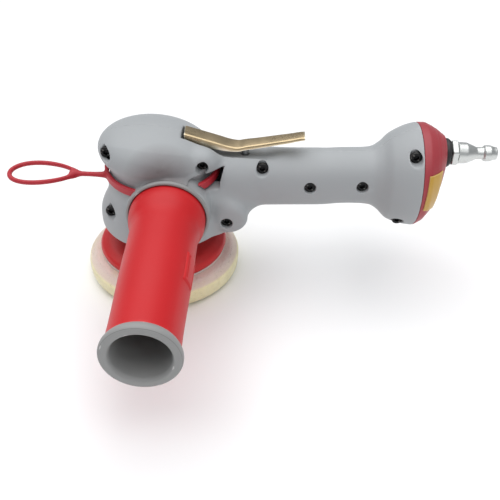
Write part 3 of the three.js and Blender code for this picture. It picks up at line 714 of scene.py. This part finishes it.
GRIP_LINE = [(25.9, 19.6), (29, 21.2), (34, 22), (38, 22.15), (41.5, 22), (45.5, 21.2), (49.5, 19.9),
             (54, 19.3), (60, 19.2), (84, 19.1), (98, 18.9), (112, 18.5), (124, 18.2), (140.3, 18.1)]
along = np.concatenate([np.linspace(25.9, 56, 50), np.linspace(57, 77, 12), np.linspace(78, 102, 60),
                        np.linspace(104, 140.4, 20)])
radius = eased(GRIP_LINE, along)
inner = np.array([(15.5, 140.4), (15.5, 72), (14, 42), (12, 34), (12, 25.9)])
profile = np.r_[np.stack([radius, along], 1), [(17.7, 140.5)], inner]
put("grip_sleeve", *skin(turned(profile, 240, "-Y", GRIP_AXIS, grip_swell), True), GRIP, "grip_red",
    "side_grip", ["side_grip"])

cuff = rounded([(14.1, 114, 0.2), (15.2, 114, 0.2), (15.2, 140.8, 0), (18.7, 140.8, 0.4), (19.95, 143, 1.1),
                (19.95, 145.4, 1), (18.8, 146.5, 0.8), (15.7, 146.5, 0.9), (14.7, 144.6, 0.8)], 8)
put("grip_mouth", *skin(turned(cuff, 128, "-Y", GRIP_AXIS), True), CUFF, "cuff_grey", "side_grip",
    ["grip_cuff"])

# ---- Throttle lever --------------------------------------------------------------------------
LEVER_LINE = [(14.4, 101), (24, 98.1), (34, 95), (41, 92.8), (44, 92.2), (46.5, 92.1), (49, 92.7), (58, 94.2),
              (68, 96), (77, 97.6), (83, 98.8), (85, 99)]
LEVER_HALF = [(14.4, 5.8), (40, 5.7), (46, 5.6), (52, 5.3), (70, 4.9), (85, 4.5)]
LEVER_DEPTH = [(14.4, 5.4), (16.6, 6.2), (18.2, 8.8), (20, 9.6), (21.8, 8.6), (23.6, 5.8), (26, 4.8), (34, 4),
               (41, 2.8), (46, 2.2), (52, 2.2), (66, 2.1), (78, 1.8), (85, 1.5)]
SHEET = 1.1


def lever_grid():
    """A channel section, open downwards, carried along the lever's line: its half width and the depth of
    its flanges change along X, and its corners are rounded."""
    x = np.concatenate([np.linspace(14.4, 40, 64), np.linspace(40.6, 52, 26), np.linspace(53, 85, 46)])
    z, half, depth = (eased(knots, x)[:, None] for knots in (LEVER_LINE, LEVER_HALF, LEVER_DEPTH))
    rows = []
    for side, low, cut in ((-1, 1, 0.0), (-1, 0, 1.4), (1, 0, 1.4), (1, 1, 0.0)):
        rows.append((side * half, -low * depth, cut))
    for side, low, cut in ((1, 1, 0.0), (1, 0, 0.4), (-1, 0, 0.4), (-1, 1, 0.0)):
        rows.append((side * (half - SHEET), -np.where(low, depth, SHEET), cut))
    spots = np.stack([np.concatenate([across, down], 1) for across, down, _ in rows], 1)
    before, after = np.roll(spots, 1, 1) - spots, np.roll(spots, -1, 1) - spots
    reach = np.array([cut for *_, cut in rows])[None, :, None]
    start = spots + before / np.linalg.norm(before, axis=2, keepdims=True) * reach
    end = spots + after / np.linalg.norm(after, axis=2, keepdims=True) * reach
    t = np.linspace(0, 1, 6)[None, None, :, None]
    section = (1 - t) ** 2 * start[:, :, None] + 2 * t * (1 - t) * spots[:, :, None]
    section = (section + t ** 2 * end[:, :, None]).reshape(len(x), -1, 2)
    return np.stack([x[:, None] + 0 * section[..., 0], section[..., 0], z + section[..., 1]], -1)


def end_faces(first, count, flip):
    """Closes a channel's end: the outer outline is joined to the inner one, point to point."""
    half = count // 2
    outline = first + np.arange(half)
    inside = first + count - 1 - np.arange(half)
    quads = np.stack([outline[:-1], outline[1:], inside[1:], inside[:-1]], -1)
    return quads[:, ::-1] if flip else quads


grid = lever_grid()
points, faces = skin(grid)
count = grid.shape[1]
last = len(points) - count
faces = np.r_[faces, end_faces(0, count, True), end_faces(last, count, False)]
put("lever_bar", points, faces, LEVER, "lever_gold", "throttle_lever", ["throttle_lever"], 30)

# ---- End cap, plate, grommet and plug -----------------------------------------------------------
CAP_START, CAP_TIP = 152.05, 167.4
CAP_BORE = 7.3
CAP_STEPS = 7  # points at each corner of the cap's line
CAP_LINE = rounded([(CAP_START, 0, 0), (CAP_START, 31, 0.5), (156.4, 29.7, 0.9), (161.8, 24.8, 2.4),
                    (165.3, 17.6, 1.8), (CAP_TIP, 12, 0.9), (CAP_TIP, CAP_BORE, 0.3)], CAP_STEPS)
CAP_SIDES = 128
CAP_HEIGHT = [(152.1, 73.6), (156.4, 75.1), (161.8, 77.6), (165.3, 82.4), (167.4, 86.6)]
INLET_Z = 88.5


def cap_grid(line):
    """Circles whose radius and height change along X."""
    angle = np.linspace(0, 2 * np.pi, CAP_SIDES, endpoint=False)[None, :]
    x, radius = line[:, :1], line[:, 1:]
    height = np.interp(x, *np.array(CAP_HEIGHT).T)
    return np.stack([x + 0 * angle, radius * np.cos(angle), height + radius * np.sin(angle)], -1)


# the line's first corner lies on the axis, and only the first point of its last one is kept
outer_cap = cap_grid(CAP_LINE[CAP_STEPS:])[:1 - CAP_STEPS]
angle = np.linspace(0, 2 * np.pi, CAP_SIDES, endpoint=False)
across, up = CAP_BORE * np.cos(angle), INLET_Z + CAP_BORE * np.sin(angle)
bore = np.stack([np.stack([np.full(CAP_SIDES, at), across, up], -1) for at in (CAP_TIP, CAP_START)])
put("rear_cap", *skin(np.r_[outer_cap, bore], True), CAP, "cap_red", "housing", ["end_cap"], 30)

bush = rounded([(5.2, 153, 0), (7, 153, 0), (7, 167.7, 0), (8.5, 167.7, 0.3), (8.6, 169.8, 0.7),
                (7.6, 171, 0.4), (5.2, 171, 0.4)], 6)
put("inlet_bush", *skin(turned(bush, 72, "X", (0, 0, INLET_Z)), True), RUBBER, "black_rubber", "housing",
    ["inlet_grommet"])

nipple = rounded([(2.2, 152.4, 0), (4.9, 152.4, 0), (4.9, 171.4, 0), (6.9, 171.4, 0.2), (7.9, 172, 0.3),
                  (7.9, 174.9, 0.3), (6.9, 175.6, 0.2), (6.4, 175.8, 0.1), (6.2, 181, 0.5),
                  (4.6, 184.9, 0.8), (3.6, 187, 0.5), (3.6, 190.6, 0.4), (4.8, 191.8, 0.4),
                  (4.8, 195, 0.5), (4, 197, 0.6), (3.7, 199, 0.5), (2.2, 199, 0.3)], 6)


def hex_swell(angle, along):
    """A hexagon where the spanner fits, and a circle elsewhere."""
    flats = np.minimum(hexed(angle) * 0.9, 1.0)
    return np.where((along > 171.5) & (along < 175.7), flats, 1.0)


put("air_nipple", *skin(turned(nipple, 96, "X", (0, 0, INLET_Z), hex_swell), True), PLUG, "plug_steel",
    "housing", ["inlet_plug"], 30)

# ---- Backing plate, fleece and pad --------------------------------------------------------------
plate = rounded([(4.9, 20.4, 0.2), (4.9, 31, 0.3), (15, 31, 0.9), (18, 29.6, 0.9), (35, 26, 1.6),
                 (39.8, 23.4, 1.2), (40.8, 21, 1), (39.8, 18.3, 0.3), (14, 18.3, 0.2), (14, 20.4, 0.2)], 8)
put("plate_disc", *skin(turned(plate, 144), True), PLATE, "plate_red", "spindle", ["backing_plate"])
fleece = rounded([(0, 16.8, 0), (39.9, 16.8, 0.3), (39.9, 18, 0.3), (0, 18, 0)], 5)
put("fleece_disc", *skin(turned(fleece, 144)), FLEECE, "hook_fleece", "spindle", ["hook_layer"])


def pad_swell(angle, along):
    """The cut edge of the foam wanders a little round the rim."""
    wander = np.sin(3 * angle + 0.6) + 0.6 * np.sin(7 * angle + along / 4) + 0.4 * np.sin(17 * angle + 2)
    return 1 - 0.0022 * (1 + wander / 2) + 0 * along


side = rounded([(0, 0, 0), (45, 0, 2), (48.4, 3.6, 1.6), (49.1, 8, 3), (48.9, 12.4, 1.8), (44.2, 16.4, 2),
                (0, 16.5, 0)], 10)
pad = put("foam_pad", *skin(turned(side, 240, swell=pad_swell)), FOAM, "pad_foam", "spindle",
          ["polishing_pad"], 60)

# ---- Plate on the cap ---------------------------------------------------------------------------


def plate_grid():
    """A thin blank sheet wrapped on the cap's lower front: rows round the cap, columns along it."""
    u, v = np.linspace(0, 1, 40)[:, None], np.linspace(0, 1, 24)[None, :]
    x = 153.7 + 1.2 * u + (6.5 + 1.8 * u) * v
    radius = np.interp(x, *CAP_LINE[CAP_STEPS:-2 * CAP_STEPS].T)
    height = np.interp(x, *np.array(CAP_HEIGHT).T)
    z = 67 + 21.4 * u - 1.6 * v * (1 - u)
    drop = np.clip((z - height) / radius, -1, 1)
    outward = lambda lift: np.stack([x + 0.7 * lift, -(radius + lift) * np.sqrt(1 - drop ** 2), z], -1)
    return outward(0.15), outward(0.75)


def sheet_faces(rows, columns):
    """The numbers of an open grid's points, and the four-sided faces between them."""
    index = np.arange(rows * columns).reshape(rows, columns)
    corners = [index[:-1, :-1], index[1:, :-1], index[1:, 1:], index[:-1, 1:]]
    return index, np.stack(corners, -1).reshape(-1, 4)


inner_sheet, outer_sheet = plate_grid()
index, faces = sheet_faces(*inner_sheet.shape[:2])
total = index.size
rim = np.r_[index[0, :-1], index[:-1, -1], index[-1, :0:-1], index[:0:-1, 0]]
after = np.roll(rim, -1)
faces = np.r_[faces[:, ::-1], faces + total, np.stack([rim, after, after + total, rim + total], -1)]
put("blank_plate", np.r_[inner_sheet.reshape(-1, 3), outer_sheet.reshape(-1, 3)], faces, LABEL, "label_ochre",
    "housing", ["end_label"], 50)

# ---- Floor -----------------------------------------------------------------------------------
FLOOR = 20  # metres from its middle to each side
corners = [(-FLOOR, -FLOOR, 0), (FLOOR, -FLOOR, 0), (FLOOR, FLOOR, 0), (-FLOOR, FLOOR, 0)]
floor = bpy.data.objects.new("floor", bpy.data.meshes.new("floor"))
floor.data.from_pydata(corners, [], [(0, 1, 2, 3)])
paint = bpy.data.materials.new("floor paint")
paint.use_nodes = True
paint.node_tree.nodes["Principled BSDF"].inputs["Base Color"].default_value = (0.92, 0.92, 0.92, 1)
paint.node_tree.nodes["Principled BSDF"].inputs["Roughness"].default_value = 0.9
floor.data.materials.append(paint)
floor.location.z = -0.0003
bpy.context.scene.collection.objects.link(floor)

world = bpy.data.worlds.new("world")
world.use_nodes = True
world.node_tree.nodes["Background"].inputs[0].default_value = (0.93, 0.96, 1, 1)
world.node_tree.nodes["Background"].inputs[1].default_value = 0.37
bpy.context.scene.world = world
